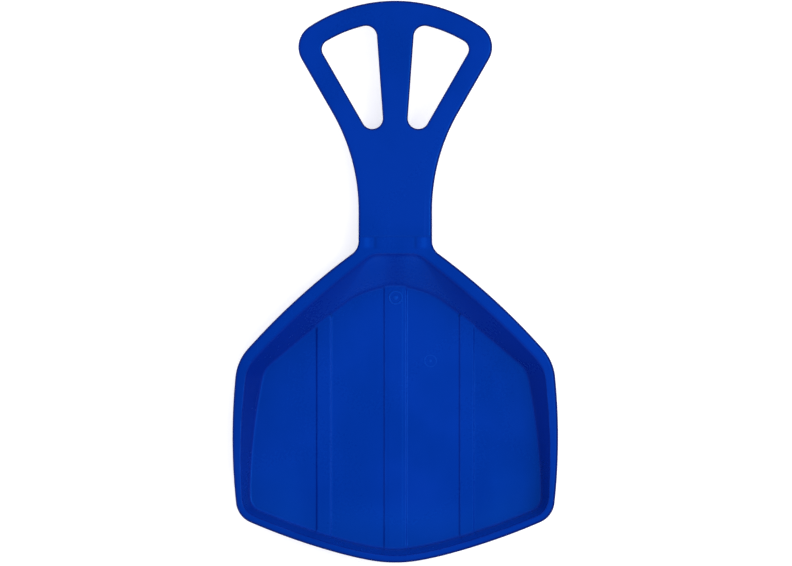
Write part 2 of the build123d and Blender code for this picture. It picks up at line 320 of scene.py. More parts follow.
def station(p, x_floor=None):
    """All rows at ring parameter p in [0, 8]. Rows 0..N_LIP-1 the turned-down edge, then flange, rim rounding, wall, hollow."""
    k = min(int(p), 7)
    f = p - k
    if k == 7 and p >= 8:
        f = 1.0
    a, ta = A_PATH[k].frac(f)
    b, tb = B_PATH[k].frac(f)
    t = ta + tb
    t /= np.hypot(*t)
    t3 = np.array([t[0], t[1], 0.0])
    down = np.array([b[0] - a[0], b[1] - a[1], FLOOR_Z - RIM_Z])
    nw = np.cross(t3, down)
    nw /= np.linalg.norm(nw)
    if nw[2] < 0:
        nw = -nw
    bis = UP + nw
    bis /= np.linalg.norm(bis)
    half = math.acos(max(-1.0, min(1.0, float(UP @ nw)))) / 2
    R_RIM, R_FOOT = r_rim(p), r_foot(p)
    r_in = max(R_RIM - T, 0.5)
    c2 = np.array([a[0], a[1], RIM_Z]) - bis * (R_RIM / math.cos(half))
    c2b = np.array([a[0], a[1], RIM_Z]) - bis * ((r_in + T) / math.cos(half))
    wall0 = c2 + nw * R_RIM
    wall0b = c2b + nw * r_in

    def foot(zf):
        g = (zf - FLOOR_Z) / (RIM_Z - FLOOR_Z)
        q = np.array([b[0] + (a[0] - b[0]) * g, b[1] + (a[1] - b[1]) * g, zf])
        return q + bis * (R_FOOT / math.cos(half))
    c3 = foot(FLOOR_Z)
    x = c3[0] if x_floor is None else x_floor
    c3 = foot(FLOOR_Z + float(rib_top(x)))
    c3b = foot(FLOOR_Z)                             # the channels under the ribs end short of the wall
    top, bot = [], []
    if p <= 6.0 + 1e-9:
        s0, s1 = O_SPAN[min(k, 5)]
        o, to = outer.at(s0 + (s1 - s0) * (f if p < 6 else 1.0))
        n = right(to)
        w = float(smooth((o[1] - (WEB_Y0 - 7.0)) / 7.0)) if p > 5.5 else 0.0
        if w > 0:                                   # the end section lies square across the neck
            n = n * (1 - w) + np.array([1.0, 0.0]) * w
            n /= np.hypot(*n)
        top, bot = lip_rows(o, n, PAN_LIP_Z)
        q, g2 = np.array(top[-1]), np.array([c2[0], c2[1], RIM_Z])
        qb, g2b = np.array(bot[-1]), np.array([c2b[0], c2b[1], RIM_Z - T])
        for i in range(1, N_FLANGE):
            top.append(tuple(q + (g2 - q) * i / N_FLANGE))
            bot.append(tuple(qb + (g2b - qb) * i / N_FLANGE))
    for i in range(N_P2):
        u = slerp(UP, nw, i / (N_P2 - 1))
        top.append(tuple(c2 + u * R_RIM))
        bot.append(tuple(c2b + u * r_in))
    end, endb = c3 - nw * R_FOOT, c3b - nw * (R_FOOT + T)
    for i in range(1, N_WALL):
        top.append(tuple(wall0 + (end - wall0) * i / N_WALL))
        bot.append(tuple(wall0b + (endb - wall0b) * i / N_WALL))
    for i in range(N_P3):
        u = slerp(nw, UP, i / (N_P3 - 1))
        top.append(tuple(c3 - u * R_FOOT))
        bot.append(tuple(c3b - u * (R_FOOT + T)))
    return top, bot


ROW_G = N_LIP + N_FLANGE - 1                      # first row of the rim rounding
ROW_SPLIT = ROW_G + N_P2 // 2                     # rim and wall part in the middle of that rounding
N_ROWS = ROW_G + N_P2 + N_WALL - 1 + N_P3

X_MID = ([0, 2, 4, 5.6, 6.4, 6.8, 7.05, 7.3, 7.55, 7.8, 8.1, 8.6, 9.2, 9.6, 9.9] + list(np.linspace(10.1, 12.0, 9)) + list(np.linspace(12.2, 13.4, 7))
         + [13.9, 15, 17.5])
X_GAP = list(np.linspace(21, 58, 12))
X_RIB = [60.0, 61.3, 61.9] + list(np.linspace(62.15, 63.5, 8)) + list(np.linspace(63.7, 65.6, 10)) + [65.9, 66.4, 67.4, 69.2]
X_SIDE = X_RIB + [71.5] + [143.0 - x for x in reversed(X_RIB)]
X_LIST = X_MID + X_GAP + X_SIDE + list(np.linspace(86, 120, 10))


def find_p(x, lo, hi, rising):
    """Ring parameter whose foot of the wall ends at x."""
    for _ in range(44):
        mid = 0.5 * (lo + hi)
        fx = station(mid, x)[0][-1][0]
        if (fx < x) == rising:
            lo = mid
        else:
            hi = mid
    return 0.5 * (lo + hi)


P_REAR = [0.0] + [find_p(x, 0.0, 1.98, True) for x in X_LIST[1:]]
P_FRONT = [8.0] + [find_p(x, 5.02, 8.0, False) for x in X_LIST[1:]]
p_mid = (list(np.linspace(P_REAR[-1], 2.0, 6)[1:-1]) + list(np.linspace(2.0, 3.0, 19)) + list(np.linspace(3.0, 4.0, 44)[1:])
         + list(np.linspace(4.0, 5.0, 21)[1:]) + list(np.linspace(5.0, P_FRONT[-1], 5)[1:-1]))
side_ps = [P_REAR[-1]] + p_mid + [P_FRONT[-1]]
ring_ps = [(p, x) for p, x in zip(P_REAR, X_LIST)] + [(p, None) for p in p_mid] + [(p, x) for p, x in zip(reversed(P_FRONT), reversed(X_LIST))]
if not any(abs(p - 6.0) < 1e-6 for p, _ in ring_ps):
    # the last section with a rim: put it in as its own station
    i = next(i for i, (p, _) in enumerate(ring_ps) if p > 6.0)
    P6 = i
else:
    P6 = None
REAR_CUT_P, FRONT_CUT_P = 2.5, 4.5


# ================================================================= sheets: upper and lower point per vertex, faces, region per face
class Sheet:
    def __init__(self):
        self.top, self.bot, self.faces, self.region, self.tone = [], [], [], [], []

    def add(self, top, bot, tone=None):
        i = len(self.top)
        self.tone += [0.0] * len(top) if tone is None else list(tone)
        self.top += [tuple(float(c) for c in v) for v in top]
        self.bot += [tuple(float(c) for c in v) for v in bot]
        return list(range(i, i + len(top)))

    def face(self, vs, region):
        self.faces.append(tuple(vs))
        self.region.append(region)

    def mirrored(self):
        """Adds the left half."""
        n = len(self.top)
        self.tone += self.tone
        self.top += [(-x, y, z) for x, y, z in self.top]
        self.bot += [(-x, y, z) for x, y, z in self.bot]
        swap = {}
        for f, r in list(zip(self.faces, self.region)):
            self.faces.append(tuple(v + n for v in reversed(f)))
            self.region.append(r.replace("_right", "_left"))

    def weld(self, tol=2e-3):
        """Joins vertices that coincide on both sides, and drops collapsed faces."""
        key, remap, top, bot, tone = {}, [], [], [], []
        for a, b, tn in zip(self.top, self.bot, self.tone):
            found = None
            q = [round(c / tol) for c in a]
            for dx in (0, -1, 1):
                for dy in (0, -1, 1):
                    for dz in (0, -1, 1):
                        j = key.get((q[0] + dx, q[1] + dy, q[2] + dz))
                        if j is not None and max(abs(top[j][i] - a[i]) for i in range(3)) < tol and max(abs(bot[j][i] - b[i]) for i in range(3)) < 0.02:
                            found = j
                            break
                    if found is not None:
                        break
                if found is not None:
                    break
            if found is None:
                found = len(top)
                key[tuple(q)] = found
                top.append(a)
                bot.append(b)
                tone.append(tn)
            remap.append(found)
        faces, region = [], []
        for f, r in zip(self.faces, self.region):
            g = []
            for v in f:
                v = remap[v]
                if not g or (v != g[-1]):
                    g.append(v)
            if g[0] == g[-1]:
                g.pop()
            if len(set(g)) >= 3 and len(set(g)) == len(g):
                faces.append(tuple(g))
                region.append(r)
        sets = {}
        for f in faces:
            k = frozenset(f)
            sets[k] = sets.get(k, 0) + 1
        keep = [i for i, f in enumerate(faces) if sets[frozenset(f)] == 1]      # slivers on the middle line meet their mirror image
        self.top, self.bot, self.faces, self.region = top, bot, [faces[i] for i in keep], [region[i] for i in keep]
        self.tone = tone


def face_normals(co, faces):
    out = np.zeros((len(faces), 3))
    for i, f in enumerate(faces):
        p = co[list(f)]
        q = np.roll(p, -1, axis=0)
        out[i] = np.cross(p, q).sum(0) / 2
    return out


def vertex_normals(co, faces):
    fn = face_normals(co, faces)
    vn = np.zeros_like(co)
    for n, f in zip(fn, faces):
        ln = np.linalg.norm(n)
        if ln < 1e-12:
            continue
        p = co[list(f)]
        m = len(f)
        for i, v in enumerate(f):
            a, b = p[i - 1] - p[i], p[(i + 1) % m] - p[i]
            la, lb = np.linalg.norm(a), np.linalg.norm(b)
            if la < 1e-9 or lb < 1e-9:
                continue
            ang = math.acos(max(-1.0, min(1.0, float(a @ b) / (la * lb))))
            vn[v] += n / ln * ang
    ln = np.linalg.norm(vn, axis=1)
    ln[ln < 1e-12] = 1
    return vn / ln[:, None]


def convexity(co, vn, faces):
    """How sharply the surface falls away round each vertex, in 1/mm: above 0 on outer edges, below 0 in hollows."""
    acc, cnt = np.zeros(len(co)), np.zeros(len(co))
    seen = set()
    for f in faces:
        for i in range(len(f)):
            a, b = f[i], f[(i + 1) % len(f)]
            e = (a, b) if a < b else (b, a)
            if e in seen:
                continue
            seen.add(e)
            d = co[a] - co[b]
            l2 = float(d @ d)
            if l2 < 1e-9:
                continue
            k = float(d @ (vn[a] - vn[b])) / l2
            for v in (a, b):
                acc[v] += abs(k) * k
                cnt[v] += abs(k)
    out = np.where(cnt > 1e-9, acc / np.maximum(cnt, 1e-9), 0.0)
    return out


# ---------------------------------------------------------------- the pan
pan = Sheet()
cols = []
for i, (p, x) in enumerate(ring_ps):
    top, bot = station(p, x)
    if p > 6.0 + 1e-9:
        tone = pan_tone([(0, 0, RIM_Z)] * ROW_G + top, p)[ROW_G:]
        cols.append([None] * ROW_G + pan.add(top, bot, [a + b for a, b in zip(tone, wall_tone(top, 0))]))
    else:
        cols.append(pan.add(top, bot, pan_tone(top, p)))


def ring_region(p, row):
    outer_side = row < ROW_SPLIT
    if p < REAR_CUT_P:
        return "rear_rim_right" if outer_side else "rear_wall_right"
    if p < FRONT_CUT_P:
        return "side_rim_right" if outer_side else "side_wall_right"
    if p < 6.0:
        return "front_rim_right" if outer_side else "front_wall_right"
    return "neck_root" if outer_side else "front_wall_middle"


if P6 is not None:
    x6 = 0.5 * (ring_ps[P6 - 1][1] + ring_ps[P6][1]) if ring_ps[P6 - 1][1] and ring_ps[P6][1] else None
    top, bot = station(6.0)
    cols.insert(P6, pan.add(top, bot, pan_tone(top, 6.0)))
    x_at_6 = top[-1][0]
    ring_ps.insert(P6, (6.0, x_at_6))

for i in range(len(ring_ps) - 1):
    pm = 0.5 * (ring_ps[i][0] + ring_ps[i + 1][0])
    a, b = cols[i], cols[i + 1]
    for r in range(N_ROWS - 1):
        if None in (a[r], b[r]):
            continue
        pan.face((a[r], b[r], b[r + 1], a[r + 1]), ring_region(pm, r))

# floor: columns of equal x between the rear and the front foot of the wall
n_x = len(X_LIST)
M = len(side_ps)
rear_cols = cols[:n_x]
front_lookup = {}
for (p, x), c in zip(ring_ps, cols):
    if p > 5.0 and x is not None:
        front_lookup[round(x, 6)] = c
if P6 is not None and round(x_at_6, 6) not in [round(x, 6) for x in X_LIST]:
    # one more column of the floor meets the extra station
    X_ALL = sorted(X_LIST + [x_at_6])
else:
    X_ALL = list(X_LIST)


def floor_region(x):
    x = abs(x)
    if x < RIB_MID_W / 2:
        return "floor_rib_middle"
    if x < RIB_X - RIB_W / 2:
        return "floor_inner_right"
    if x < RIB_X + RIB_W / 2:
        return "floor_rib_right"
    return "floor_outer_right"


def floor_z(x, y):
    """Upper face of the floor: ribs, and the slight unevenness that such a panel has after cooling."""
    warp = 0.10 * math.sin(y / 41.0 + 0.6) * math.cos(x / 33.0) + 0.07 * math.sin(y / 67.0 - x / 51.0)
    edge = float(smooth((146.0 - abs(x)) / 30.0)) * float(smooth((y + 262.0) / 30.0)) * float(smooth((-22.0 - y - 0.35 * abs(x)) / 30.0))
    return FLOOR_Z + float(rib_top(x)) + (warp + 0.17) * edge


v_rows = np.linspace(0, 1, M)
grid = []
for j, x in enumerate(X_ALL):
    if round(x, 6) in [round(v, 6) for v in X_LIST]:
        rc = rear_cols[[round(v, 6) for v in X_LIST].index(round(x, 6))]
        ra, rb = pan.top[rc[-1]], pan.bot[rc[-1]]
    else:
        pr = find_p(x, 0.0, 1.98, True)
        tt, bt = station(pr, x)
        ra, rb = tt[-1], bt[-1]
    fc = front_lookup[round(x, 6)]
    fa, fb = pan.top[fc[-1]], pan.bot[fc[-1]]
    top, bot = [], []
    for k, v in enumerate(v_rows):
        xx, yy = ra[0] + (fa[0] - ra[0]) * v, ra[1] + (fa[1] - ra[1]) * v
        xb, yb = rb[0] + (fb[0] - rb[0]) * v, rb[1] + (fb[1] - rb[1]) * v
        if k in (0, M - 1):
            top.append(ra if k == 0 else fa)
            bot.append(rb if k == 0 else fb)
        else:
            z = floor_z(xx, yy)
            top.append((xx, yy, z))
            ends = float(smooth((min(yb - rb[1], fb[1] - yb) - 2.0) / 6.0))
            bot.append((xb, yb, z - float(rib_top(xx)) - FLOOR_Z + float(rib_under(xb)) * ends))
    grid.append(pan.add(top, bot, [floor_tone(v) for v in top]))
for j in range(len(X_ALL) - 1):
    region = floor_region(0.5 * (X_ALL[j] + X_ALL[j + 1]))
    for k in range(M - 1):
        a, b = grid[j], grid[j + 1]
        pan.face((a[k], b[k], b[k + 1], a[k + 1]), region)
# beyond the last column: ruled strips to the foot of the side wall
side_cols = [c for (p, x), c in zip(ring_ps, cols) if P_REAR[-1] - 1e-9 <= p <= P_FRONT[-1] + 1e-9]
assert len(side_cols) == M, (len(side_cols), M)
W = 9
strips = [grid[-1]]
for w in range(1, W + 1):
    top, bot = [], []
    for k in range(M):
        ca, cb = pan.top[grid[-1][k]], pan.bot[grid[-1][k]]
        ea, eb = pan.top[side_cols[k][-1]], pan.bot[side_cols[k][-1]]
        f = w / W
        pa = [ca[i] + (ea[i] - ca[i]) * f for i in range(3)]
        pb = [cb[i] + (eb[i] - cb[i]) * f for i in range(3)]
        if 0 < w < W and 0 < k < M - 1:
            z = floor_z(pa[0], pa[1])
            pa[2], pb[2] = z, z - FLOOR_Z
        top.append(tuple(pa))
        bot.append(tuple(pb))
    strips.append(pan.add(top, bot, [floor_tone(v) for v in top]))
for w in range(W):
    a, b = strips[w], strips[w + 1]
    for k in range(M - 1):
        pan.face((a[k], b[k], b[k + 1], a[k + 1]), "floor_outer_right")


def fill_flat(sheet, loops, lines, spacing, region_of, z=RIM_Z, t=T):
    """Triangulates a flat area. loops are closed lists of (x, y), the first the outside; lines are open constraint lines."""
    pts, edges = [], []
    for lp in loops:
        i = len(pts)
        pts += [Vector(p) for p in lp]
        edges += [(i + k, i + (k + 1) % len(lp)) for k in range(len(lp))]
    for ln in lines:
        i = len(pts)
        pts += [Vector(p) for p in ln]
        edges += [(i + k, i + k + 1) for k in range(len(ln) - 1)]
    allp = np.array([tuple(p) for p in pts])
    lo, hi = allp.min(0), allp.max(0)
    out = np.array(loops[0])
    inner = [np.array(lp) for lp in loops[1:]]

    def inside(q, poly):
        x, y = q
        px, py = poly[:, 0], poly[:, 1]
        qx, qy = np.roll(px, -1), np.roll(py, -1)
        c = (py > y) != (qy > y)
        with np.errstate(divide="ignore", invalid="ignore"):
            xi = (qx - px) * (y - py) / (qy - py) + px
        return bool(np.count_nonzero(c & (x < xi)) % 2)
    row = 0
    y = lo[1] + spacing / 2
    while y < hi[1]:
        x = lo[0] + (spacing / 2 if row % 2 else spacing)
        while x < hi[0]:
            q = (x, y)
            if inside(q, out) and not any(inside(q, h) for h in inner) and np.min(np.hypot(allp[:, 0] - x, allp[:, 1] - y)) > spacing * 0.55:
                pts.append(Vector(q))
            x += spacing
        y += spacing * 0.87
        row += 1
    vs, es, fs, ov, oe, of = delaunay_2d_cdt(pts, edges, [], 0, 1e-4, True)
    ids = sheet.add([(v[0], v[1], z) for v in vs], [(v[0], v[1], z - t) for v in vs], [TONE_RIM] * len(vs))
    n = 0
    for f in fs:
        c = sum((vs[i] for i in f), Vector((0, 0))) / len(f)
        if not inside(c, out) or any(inside(c, h) for h in inner):
            continue
        g = [vs[i] for i in f]
        area = sum(g[i].x * g[(i + 1) % len(g)].y - g[(i + 1) % len(g)].x * g[i].y for i in range(len(g)))
        idx = [ids[i] for i in f]
        if area < 0:
            idx.reverse()
        sheet.face(idx, region_of(c.x, c.y))
        n += 1
    return n


# flat top between the shoulders of the neck: right half, closed along the middle
i6 = next(i for i, (p, _) in enumerate(ring_ps) if abs(p - 6.0) < 1e-9)
edge_line = [pan.top[cols[i6][r]][:2] for r in range(N_LIP - 1, ROW_G + 1)]              # outside to inside along the last section
g_line = [pan.top[cols[i][ROW_G]][:2] for i in range(i6 + 1, len(ring_ps))]               # along the top of the front wall to the middle
qx = edge_line[0][0]
web_line = [(x, WEB_Y0) for x in np.linspace(0.0, qx, 14)[:-1]]
loop = edge_line + g_line + web_line
fill_flat(pan, [loop], [], 3.0, lambda x, y: "neck_root")
pan.mirrored()
pan.weld()

# ---------------------------------------------------------------- neck and grip
grip = Sheet()


def spaced(path, s0, s1, step, fine=()):
    """Arc lengths from s0 to s1 about step apart, closer on tight arcs."""
    out = [s0]
    for i in range(len(path.segs)):
        a, b = max(s0, path.cum[i]), min(s1, path.cum[i + 1])
        if b - a < 1e-6:
            continue
        r = path.segs[i][1]
        st = step if r is None else min(step, max(0.8, abs(r) * 0.09))
        n = max(1, int(math.ceil((b - a) / st)))
        out += [a + (b - a) * (k + 1) / n for k in range(n)]
    return out


s_cut = s_at_y(outer, Y_NECK_TOP, outer.cum[9], outer.cum[10])


def s_at_radius(path, lo, hi):
    for _ in range(60):
        mid = 0.5 * (lo + hi)
        q = path.at(mid)[0] - np.array([0, Y_BOW])
        if np.hypot(*q) < BOW_CUT_R:
            lo = mid
        else:
            hi = mid
    return 0.5 * (lo + hi)


s_bow = s_at_radius(outer, 0.5 * (s_cut + outer.cum[11]), outer.cum[11])
marks = sorted([S_WEB1, s_cut, s_bow, outer.total])
ss = [S_WEB1]
for a, b in zip(marks[:-1], marks[1:]):
    ss += spaced(outer, a, b, 3.0)[1:]
g_cols = []
for s in ss:
    o, t = outer.at(s)
    top, bot = lip_rows(o, right(t), GRIP_LIP_Z)
    g_cols.append(grip.add(top, bot, lip_tone(top)))


def grip_region(x, y):
    if y < Y_NECK_TOP:
        return "neck_plate"
    if math.hypot(x, y - Y_BOW) > BOW_CUT_R:
        return "grip_bow_right"
    return "grip_bar_middle" if abs(x) < BAR_SPLIT else "grip_bar_right"


for i in range(len(ss) - 1):
    sm = 0.5 * (ss[i] + ss[i + 1])
    region = "neck_plate" if sm < s_cut else ("grip_bar_right" if sm < s_bow else "grip_bow_right")
    for r in range(N_LIP - 1):
        a, b = g_cols[i], g_cols[i + 1]
        grip.face((a[r], b[r], b[r + 1], a[r + 1]), region)


def hole_path():
    (ax, ay), (bx, by) = HOLE_OUT
    (dx, dy), (cx, cy) = HOLE_IN
    to = np.array([bx - ax, by - ay]); to /= np.hypot(*to)
    ti = np.array([dx - cx, dy - cy]); ti /= np.hypot(*ti)
    no, ni = left(to), left(ti)
    a, c = np.array([ax, ay]), np.array([cx, cy])

    def line_line(r):
        p, q = a + no * r, c + ni * r
        m = np.array([[to[0], -ti[0]], [to[1], -ti[1]]])
        s = np.linalg.solve(m, q - p)
        return p + to * s[0]

    def line_arc(p0, t, n, r):
        p = p0 + n * r - np.array([0, Y_BOW])
        b_, c_ = float(p @ t), float(p @ p) - (HOLE_ARC_R - r) ** 2
        s = -b_ + math.copysign(math.sqrt(b_ * b_ - c_), t[1])
        return p + t * s + np.array([0, Y_BOW])
    k1 = line_line(HOLE_R_BOTTOM)
    k2 = line_arc(a, to, no, HOLE_R_OUT)
    k3 = line_arc(c, -ti if ti[1] < 0 else ti, ni, HOLE_R_IN)
    ho, hi = math.atan2(to[1], to[0]), math.atan2(ti[1], ti[0]) % (2 * math.pi)
    h2 = math.atan2(k2[1] - Y_BOW, k2[0]) + math.pi / 2
    h3 = math.atan2(k3[1] - Y_BOW, k3[0]) + math.pi / 2
    o = np.array([0.0, Y_BOW])

    def at(cc, r, h):
        return cc + right(unit(h)) * r
    p1, p2 = at(k1, HOLE_R_BOTTOM, ho), at(k2, HOLE_R_OUT, ho)
    p5, p6 = at(k3, HOLE_R_IN, hi), at(k1, HOLE_R_BOTTOM, hi)
    return Path([(tuple(p1), None, ho, float(np.hypot(*(p2 - p1)))), (tuple(k2), HOLE_R_OUT, ho, h2), (tuple(o), HOLE_ARC_R, h2, h3),
                 (tuple(k3), HOLE_R_IN, h3, hi), (tuple(p5), None, hi, float(np.hypot(*(p6 - p5)))),
                 (tuple(k1), HOLE_R_BOTTOM, hi, ho + 2 * math.pi)])


hp = hole_path()
hs = spaced(hp, 0.0, hp.total, 3.0)[:-1]
h_cols = []
for s in hs:
    o, t = hp.at(s)
    top, bot = lip_rows(o, left(t), HOLE_LIP_Z, r=R_HOLE)
    h_cols.append(grip.add(top, bot, lip_tone(top)))
for i in range(len(hs)):
    j = (i + 1) % len(hs)
    c = 0.5 * (np.array(grip.top[h_cols[i][5]]) + np.array(grip.top[h_cols[j][5]]))
    region = grip_region(c[0], c[1])
    for r in range(N_LIP - 1):
        a, b = h_cols[i], h_cols[j]
        grip.face((b[r], a[r], a[r + 1], b[r + 1]), region)

loop_out = [grip.top[c[-1]][:2] for c in g_cols]
loop_hole = [grip.top[c[-1]][:2] for c in h_cols]


def nearest(loop, q):
    d = [math.hypot(p[0] - q[0], p[1] - q[1]) for p in loop]
    return loop[int(np.argmin(d))]


bottom_line = [(x, WEB_Y1) for x in np.linspace(0.0, loop_out[0][0], 14)[:-1]]
mid_line = [(0.0, y) for y in np.linspace(loop_out[-1][1], WEB_Y1, 90)[1:-1]]
outer_loop = loop_out + mid_line + bottom_line
i_cut = min(range(len(ss)), key=lambda i: abs(ss[i] - s_cut))
i_bow = min(range(len(ss)), key=lambda i: abs(ss[i] - s_bow))
lines = []
qa = loop_out[i_cut]
lines.append([(qa[0] * f, Y_NECK_TOP * (1 - f) + qa[1] * f) for f in np.linspace(0, 1, 16)])
q0 = loop_out[i_bow]
h_o = nearest(loop_hole, (0.5 * (HOLE_OUT[0][0] + HOLE_OUT[1][0]) + 12, Y_BOW + 110))
ang0, ang1 = math.atan2(q0[1] - Y_BOW, q0[0]), None
cand = [p for p in loop_hole if p[0] > 40]
h_o = min(cand, key=lambda p: abs(math.hypot(p[0], p[1] - Y_BOW) - BOW_CUT_R))
lines.append([tuple(np.array(q0) * (1 - f) + np.array(h_o) * f) for f in np.linspace(0, 1, 8)])
cand = [p for p in loop_hole if p[0] < 25 and p[1] > 200]
h_i = min(cand, key=lambda p: abs(math.hypot(p[0], p[1] - Y_BOW) - BOW_CUT_R))
th = math.atan2(h_i[1] - Y_BOW, h_i[0])
rr = math.hypot(h_i[0], h_i[1] - Y_BOW)
lines.append([(rr * math.cos(a), Y_BOW + rr * math.sin(a)) for a in np.linspace(th, math.pi / 2, 7)])
h_b = nearest(loop_hole, (BAR_SPLIT, 150.0))
lines.append([tuple(np.array(h_b) * (1 - f) + np.array((BAR_SPLIT, Y_NECK_TOP)) * f) for f in np.linspace(0, 1, 3)])
fill_flat(grip, [outer_loop, loop_hole], lines, 4.5, grip_region)
grip.mirrored()
grip.weld()

# ---------------------------------------------------------------- the flexing strip
web = Sheet()
ys = [32.0, 32.25, 32.5, 32.8, 33.1, 33.5, 34.0, 34.8, 35.8, 37.0, 38.0, 39.0, 40.0, 41.0, 42.2, 43.2, 44.0, 44.5, 44.9, 45.2, 45.5, 45.75, 46.0]
xs_f = [0, 3, 6, 9, 12, 14.5, 16.3, 17.2, 18.0, 18.8, 19.6, 20.4, 21.2, 22.2, 23.4, 25.0, 27.0, 29.5]


def web_z(x, y, hw):
    """Upper face: a slightly sunk middle panel between two low shoulders, and a fine crease at each end."""
    ax = abs(x)
    panel = 0.20 * math.exp(-((ax - 20.3) / 2.6) ** 2)
    shoulder = -0.20 * math.exp(-((ax - 28.6) / 4.0) ** 2)
    body = float(smooth((y - 32.0) / 2.2)) * float(smooth((46.0 - y) / 2.2))
    crease = 0.34 * math.exp(-((y - 45.3) / 0.45) ** 2)
    lift = (RIM_Z - WEB_TOP) * float(smooth((36.0 - y) / 4.0))
    return WEB_TOP + lift - (panel + shoulder) * body - crease


def web_tone(x, y, hw):
    """Painted highlight: paler on the shoulders of the strip; painted shade: deeper in the two soft channels and at its
    outer edge.
    """
    ax = abs(x)
    body = float(smooth((y - 31.8) / 3.5)) * float(smooth((46.2 - y) / 3.0))
    t = body * (0.85 * math.exp(-((ax - 28.4) / 4.2) ** 2) - 0.22 * math.exp(-((ax - 20.3) / 2.2) ** 2))
    return TONE_RIM + t - float(smooth((ax - hw + 1.8) / 1.5))


w_cols = []
for y in ys:
    s = s_at_y(outer, y, S_WEB0 - 1, S_WEB1 + 1) if WEB_Y0 < y < WEB_Y1 else (S_WEB0 if y <= WEB_Y0 else S_WEB1)
    hw = float(outer.at(s)[0][0])
    r = WEB_T / 2
    top, bot = [], []
    xs = [x for x in xs_f] + list(np.linspace(29.5, hw - r, 5)[1:])
    for x in xs:
        z = web_z(x, y, hw)
        top.append((x, y, z))
        bot.append((x, y, WEB_TOP - WEB_T))
    z = web_z(hw, y, hw)
    zb = WEB_TOP - WEB_T
    zm, hz = 0.5 * (z + zb), 0.5 * (z - zb)
    for a in np.radians([67.5, 45, 22.5, 0]):
        top.append((hw - r + r * math.cos(a), y, zm + hz * math.sin(a)))
        bot.append((hw - r + r * math.cos(a), y, zm - hz * math.sin(a)))
    w_cols.append(web.add(top, bot, [web_tone(v[0], v[1], hw) for v in top]))
for i in range(len(ys) - 1):
    a, b = w_cols[i], w_cols[i + 1]
    for k in range(len(a) - 1):
        web.face((a[k], a[k + 1], b[k + 1], b[k]), "flex_web")
web.mirrored()
web.weld()


# ================================================================= sheets to closed pieces
def build_pieces(sheet, sharp_deg=40.0):
    co_t, co_b = np.array(sheet.top), np.array(sheet.bot)
    rev = [tuple(reversed(f)) for f in sheet.faces]
    tip = np.linalg.norm(co_t - co_b, axis=1) < 1e-3
    # one closed skin for the normals: at the tips the two sides share a vertex
    n = len(co_t)
    lower = np.where(tip, np.arange(n), np.arange(n) + n)
    both = np.vstack([co_t, co_b])
    all_faces = list(sheet.faces) + [tuple(int(lower[v]) for v in f) for f in rev]
    vn = vertex_normals(both, all_faces)
    cv = convexity(both, vn, all_faces)
    tone = np.array(sheet.tone)
    # painted light and shade, fitted, not wear: outer edges towards -X a shade paler, towards +X a shade deeper
    nx = vn[:n, 0]
    turned = smooth((-0.34 - tone) / 0.2)
    tone = tone + turned * np.where(nx < 0, -0.50 * nx, -0.40 * nx)
    # and painted highlight: rib flanks towards +X a shade paler
    on_floor = (co_t[:, 2] > FLOOR_Z - 0.5) & (co_t[:, 2] < FLOOR_Z + RIB_H + 0.5) & (np.abs(co_t[:, 1] + 140.0) < 128.0)
    tone = tone + np.where(on_floor, 0.62 * rib_flank_right(co_t[:, 0]), 0.0)
    out = {}
    by = {}
    for f, r in zip(sheet.faces, sheet.region):
        by.setdefault(r, []).append(f)
    for region, faces in by.items():
        used = sorted({v for f in faces for v in f})
        up = {v: i for i, v in enumerate(used)}
        co = [co_t[v] for v in used]
        attr = [(cv[v], tone[v]) for v in used]
        low = {}
        for v in used:
            if tip[v]:
                low[v] = up[v]
            else:
                low[v] = len(co)
                co.append(co_b[v])
                attr.append((cv[v + n], min(0.0, tone[v])))
        polys, loops = [], []
        count = {}
        for f in faces:
            for i in range(len(f)):
                count[(f[i], f[(i + 1) % len(f)])] = count.get((f[i], f[(i + 1) % len(f)]), 0) + 1
        for f in faces:
            polys.append([up[v] for v in f])
            loops += [vn[v] for v in f]
        for f in faces:
            g = tuple(reversed(f))
            polys.append([low[v] for v in g])
            loops += [vn[lower[v]] for v in g]
        caps = 0
        for (a, b), c in count.items():
            if (b, a) in count:
                continue
            quad = [up[b], up[a], low[a], low[b]]
            quad = [q for i, q in enumerate(quad) if q != quad[i - 1]]
            if len(set(quad)) < 3:
                continue
            pts = np.array([co[i] for i in quad])
            nn = np.cross(pts, np.roll(pts, -1, axis=0)).sum(0)
            ln = np.linalg.norm(nn)
            nn = nn / ln if ln > 1e-12 else np.array([0, 0, 1.0])
            polys.append(quad)
            loops += [nn] * len(quad)
            caps += 1
        out[region] = (np.array(co) * 0.001, polys, np.array(loops), np.array(attr))
    return out


def make_object(name, data, material):
    co, polys, normals, attr = data
    me = bpy.data.meshes.new(name)
    me.from_pydata([tuple(c) for c in co], [], polys)
    me.validate(verbose=False)
    me.polygons.foreach_set("use_smooth", [True] * len(me.polygons))
    for k, key in enumerate(("edge", "tone")):
        at = me.attributes.new(key, "FLOAT", "POINT")
        at.data.foreach_set("value", np.ascontiguousarray(np.clip(attr[:, k], -1.0, 1.0), dtype=np.float32))
    if len(me.loops) == len(normals):
        me.normals_split_custom_set([tuple(n) for n in normals])
    else:
        raise RuntimeError(f"{name}: {len(me.loops)} loops, {len(normals)} normals")
    me.update()
    ob = bpy.data.objects.new(name, me)
    bpy.context.scene.collection.objects.link(ob)
    ob.data.materials.append(material)
    return ob


# ================================================================= the material
def new_material(name):
    m = bpy.data.materials.new(name)
    m.use_nodes = True
    nt = m.node_tree
    nt.nodes.clear()
    out = nt.nodes.new("ShaderNodeOutputMaterial")
    bsdf = nt.nodes.new("ShaderNodeBsdfPrincipled")
    nt.links.new(bsdf.outputs["BSDF"], out.inputs["Surface"])
    return m, nt, bsdf


